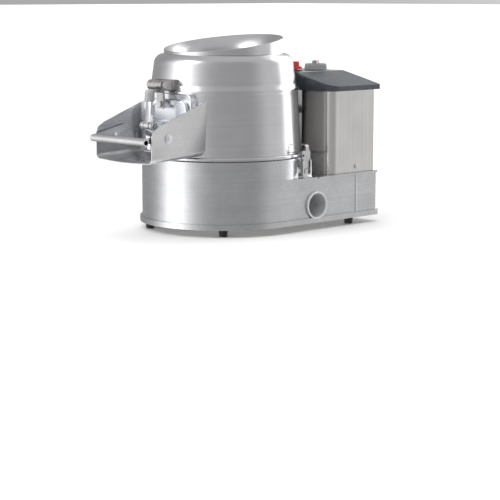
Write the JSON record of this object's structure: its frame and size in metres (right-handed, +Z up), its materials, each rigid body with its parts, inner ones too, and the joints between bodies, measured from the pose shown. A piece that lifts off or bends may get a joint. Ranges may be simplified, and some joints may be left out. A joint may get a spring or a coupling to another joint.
{
  "type": "potato peeling machine",
  "caption": "Bench-top drum peeler with an abrasive turntable, open filler collar, lever-locked front door over a chute, side drain and a rear motor housing with controls.",
  "frame": {"origin": "centre of the bounding box, on the plane of the feet", "axes": "+X to the machine's right as seen from the chute, +Y to the rear where the motor is, +Z up"},
  "size_m": [0.39, 0.661, 0.4417],
  "materials": {
    "cast_aluminium": "satin cast and linished",
    "spun_aluminium": "satin spun",
    "polished_cast": "polished casting",
    "rough_cast": "rough casting",
    "zinc_steel": "zinc plated",
    "stainless": "brushed",
    "bright_steel": "polished",
    "bearing_steel": "ground",
    "brushed_housing": "vertical brushed",
    "chute_sheet": "satin sheet",
    "plate_alu": "satin sheet",
    "grey_iron": "machined",
    "motor_paint": "satin paint",
    "abrasive_grit": "coarse grit in resin",
    "black_rubber": "matt",
    "dark_plastic": "semi-matt moulded",
    "black_plastic": "matt",
    "knob_grey": "satin",
    "grip_grey": "satin",
    "stop_red": "gloss",
    "start_green": "gloss"
  },
  "bodies": {
    "machine": {"base_casing": "cast_aluminium", "bottom_cover": "zinc_steel", "rubber_feet": "black_rubber", "foot_screws": "zinc_steel", "drain_outlet": "cast_aluminium", "well_pan": "cast_aluminium", "bearing_housing": "cast_aluminium", "spindle_bearings": "bearing_steel", "shaft_seal": "black_rubber", "drive_belt": "black_rubber", "motor": "motor_paint", "motor_mount": "zinc_steel", "drum_wall": "spun_aluminium", "drum_crown": "spun_aluminium", "filler_collar": "spun_aluminium", "abrasive_lining": "abrasive_grit", "door_frame": "polished_cast", "door_gasket": "black_rubber", "hinge_lugs": "rough_cast", "hinge_pin": "stainless", "lever_keeper": "stainless", "chute": "chute_sheet", "chute_bolts": "bright_steel", "latch_brackets": "stainless", "latch_pins": "stainless", "motor_housing": "brushed_housing", "housing_screws": "stainless", "housing_lid": "dark_plastic", "control_plate": "plate_alu", "timer_unit": "black_plastic", "button_units": "black_plastic", "water_pipe": "stainless", "pipe_grommet": "black_rubber", "cable_gland": "black_plastic"},
    "turntable": {"drive_shaft": "bearing_steel", "turntable": "cast_aluminium", "abrasive_disc": "abrasive_grit", "turntable_nut": "stainless", "large_pulley": "grey_iron"},
    "motor_rotor": {"motor_pulley": "grey_iron", "motor_shaft": "bearing_steel"},
    "door": {"door": "polished_cast", "door_arm": "rough_cast", "door_bolt": "stainless", "lever_pin": "stainless", "lever_nuts": "stainless"},
    "door_lever": {"lever_handle": "bright_steel", "lever_grip": "grip_grey"},
    "flap": {"chute_flap": "chute_sheet"},
    "right_lever": {"right_latch_lever": "stainless"},
    "left_lever": {"left_latch_lever": "stainless"},
    "right_hook": {"right_latch_hook": "stainless"},
    "left_hook": {"left_latch_hook": "stainless"},
    "knob": {"timer_knob": "knob_grey", "knob_marker": "stop_red"},
    "stop": {"stop_button": "stop_red"},
    "start": {"start_button": "start_green"}
  },
  "joints": [
    {"name": "turntable_spin", "type": "hinge", "parent": "machine", "child": "turntable", "pos_m": [0, -0.0115, 0.1], "axis": [0, 0, 1], "continuous": true},
    {"name": "motor_spin", "type": "hinge", "parent": "machine", "child": "motor_rotor", "pos_m": [0, 0.2385, 0.1], "axis": [0, 0, 1], "continuous": true},
    {"name": "door_swing", "type": "hinge", "parent": "machine", "child": "door", "pos_m": [0, -0.2115, 0.336], "axis": [-1, 0, 0], "range_deg": [0, 70]},
    {"name": "door_lever_swing", "type": "hinge", "parent": "door", "child": "door_lever", "pos_m": [0, -0.2375, 0.246], "axis": [1, 0, 0], "range_deg": [0, 40]},
    {"name": "flap_swing", "type": "hinge", "parent": "machine", "child": "flap", "pos_m": [0, -0.263, 0.225], "axis": [1, 0, 0], "range_deg": [-40, 30]},
    {"name": "right_latch_swing", "type": "hinge", "parent": "machine", "child": "right_lever", "pos_m": [0.184, 0.0685, 0.158], "axis": [0, -1, 0], "range_deg": [0, 105]},
    {"name": "left_latch_swing", "type": "hinge", "parent": "machine", "child": "left_lever", "pos_m": [-0.184, 0.0685, 0.158], "axis": [0, 1, 0], "range_deg": [0, 105]},
    {"name": "right_hook_swing", "type": "hinge", "parent": "right_lever", "child": "right_hook", "pos_m": [0.184, 0.0685, 0.146], "axis": [0, -1, 0], "range_deg": [-105, 0]},
    {"name": "left_hook_swing", "type": "hinge", "parent": "left_lever", "child": "left_hook", "pos_m": [-0.184, 0.0685, 0.146], "axis": [0, 1, 0], "range_deg": [-105, 0]},
    {"name": "timer_turn", "type": "hinge", "parent": "machine", "child": "knob", "pos_m": [0.035, 0.2565, 0.36], "axis": [0, 0, -1], "range_deg": [0, 300]},
    {"name": "stop_press", "type": "slide", "parent": "machine", "child": "stop", "axis": [0, 0, 1], "range_m": [-0.0024, 0], "stiffness_N_per_m": 1200, "springref_m": 0.001},
    {"name": "start_press", "type": "slide", "parent": "machine", "child": "start", "axis": [0, 0, 1], "range_m": [-0.0024, 0], "stiffness_N_per_m": 1200, "springref_m": 0.001}
  ],
  "couplings": [
    {"joint": "motor_spin", "follows": "turntable_spin", "ratio": 3.1818},
    {"joint": "right_hook_swing", "follows": "right_latch_swing", "ratio": -1},
    {"joint": "left_hook_swing", "follows": "left_latch_swing", "ratio": -1}
  ]
}
